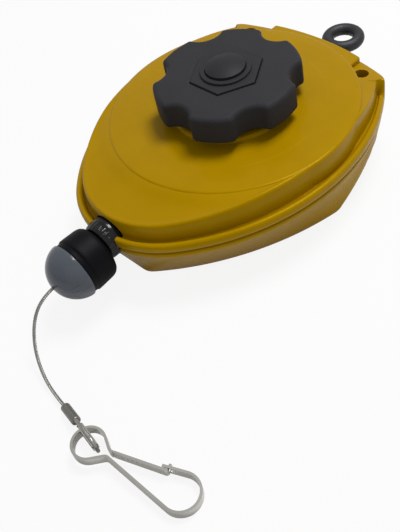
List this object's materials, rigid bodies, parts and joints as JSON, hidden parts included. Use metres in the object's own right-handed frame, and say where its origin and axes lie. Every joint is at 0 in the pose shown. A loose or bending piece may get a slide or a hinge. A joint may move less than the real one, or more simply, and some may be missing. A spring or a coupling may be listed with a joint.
{
  "type": "tool balancer",
  "caption": "Spring tool balancer: two-part casing with a lobed tension knob and release button, a hanging eye, and a rubber bumper, stop and snap hook on a steel cable.",
  "frame": {"origin": "on the back face, which lies on the ground, under the tension knob's axis", "axes": "+Z out of the front through the knob, +Y towards the hanging eye, -Y towards the cable outlet and its bumper"},
  "size_m": [0.1774, 0.2639, 0.0651],
  "materials": {
    "yellow_enamel": "semi-gloss enamel on die-cast aluminium",
    "knob_plastic": "fine moulded texture",
    "hub_plastic": "fine moulded texture",
    "button_plastic": "satin",
    "black_rubber": "matt moulded rubber",
    "grey_plastic": "satin moulded",
    "nozzle_plastic": "satin moulded",
    "white_plastic": "low-friction moulding",
    "plated_steel": "nickel-plated strip",
    "forged_steel": "zinc-plated forging",
    "screw_steel": "zinc plate",
    "machined_steel": "turned",
    "spring_steel": "blued strip",
    "steel_rope": "galvanised strands",
    "bronze": "sintered bush",
    "soft_aluminium": "pressed sleeve",
    "drum_nylon": "moulded nylon"
  },
  "bodies": {
    "casing": {"front_shell": "yellow_enamel", "rear_shell": "yellow_enamel", "ear_screws": "screw_steel", "nose_screws": "screw_steel", "outlet_nozzle": "nozzle_plastic", "rope_guide": "white_plastic", "eye_bush": "bronze", "rear_bush": "bronze", "front_bush": "white_plastic", "ratchet_pawl": "spring_steel", "pawl_screw": "screw_steel", "inner_cable": "steel_rope"},
    "eye": {"suspension_eye": "forged_steel", "eye_washer_plate": "screw_steel", "eye_nut": "screw_steel"},
    "knob": {"tension_knob": "knob_plastic", "knob_hub": "hub_plastic", "arbor": "machined_steel", "hub_key": "machined_steel", "hub_set_screw": "screw_steel", "hub_retaining_ring": "spring_steel", "button_spring": "spring_steel"},
    "button": {"release_button": "button_plastic", "push_rod": "machined_steel", "cross_pin": "machined_steel", "ratchet_wheel": "machined_steel"},
    "drum": {"cable_drum": "drum_nylon", "drum_cover": "drum_nylon", "cover_screws": "screw_steel", "drum_bushes": "bronze", "power_spring": "spring_steel", "wound_rope": "steel_rope"},
    "cable_end": {"bumper_cable": "steel_rope", "rubber_bumper": "black_rubber", "stop_half_upper": "grey_plastic", "stop_half_lower": "grey_plastic", "stop_screws": "screw_steel", "stop_crimp": "soft_aluminium", "cable": "steel_rope", "crimp_ferrule": "soft_aluminium", "cable_loop": "steel_rope", "thimble": "plated_steel"},
    "hook": {"snap_hook": "plated_steel"},
    "gate": {"hook_gate": "plated_steel"}
  },
  "joints": [
    {"name": "eye_swivel", "type": "hinge", "parent": "casing", "child": "eye", "pos_m": [0, 0.085, 0.026], "axis": [0, 1, 0], "continuous": true},
    {"name": "drum_spin", "type": "hinge", "parent": "casing", "child": "drum", "pos_m": [0, 0, 0.02], "axis": [0, 0, -1], "range_deg": [0, 1700], "stiffness_Nm_per_rad": 0.01, "springref_deg": -2864.79, "deforming": ["power_spring"]},
    {"name": "cable_pull", "type": "slide", "parent": "casing", "child": "cable_end", "axis": [0, -1, 0], "range_m": [0, 1.3]},
    {"name": "knob_turn", "type": "hinge", "parent": "casing", "child": "knob", "pos_m": [0, 0, 0.05], "axis": [0, 0, 1], "range_deg": [0, 1440], "deforming": ["power_spring", "ratchet_pawl"]},
    {"name": "button_press", "type": "slide", "parent": "knob", "child": "button", "axis": [0, 0, -1], "range_m": [0, 0.0028], "stiffness_N_per_m": 800, "springref_m": -0.0025, "deforming": ["button_spring"]},
    {"name": "hook_swing", "type": "hinge", "parent": "cable_end", "child": "hook", "pos_m": [0.05387, -0.15636, 0.0049], "axis": [-0.1615, -0.9869, 0], "range_deg": [-60, 90]},
    {"name": "gate_swing", "type": "hinge", "parent": "hook", "child": "gate", "pos_m": [0.07116, -0.15501, 0.00433], "axis": [-0.0488, -0.011, -0.9987], "range_deg": [0, 14], "stiffness_Nm_per_rad": 0.05, "springref_deg": -11.46}
  ],
  "couplings": [
    {"joint": "cable_pull", "follows": "drum_spin", "m_per_rad": 0.0438}
  ]
}
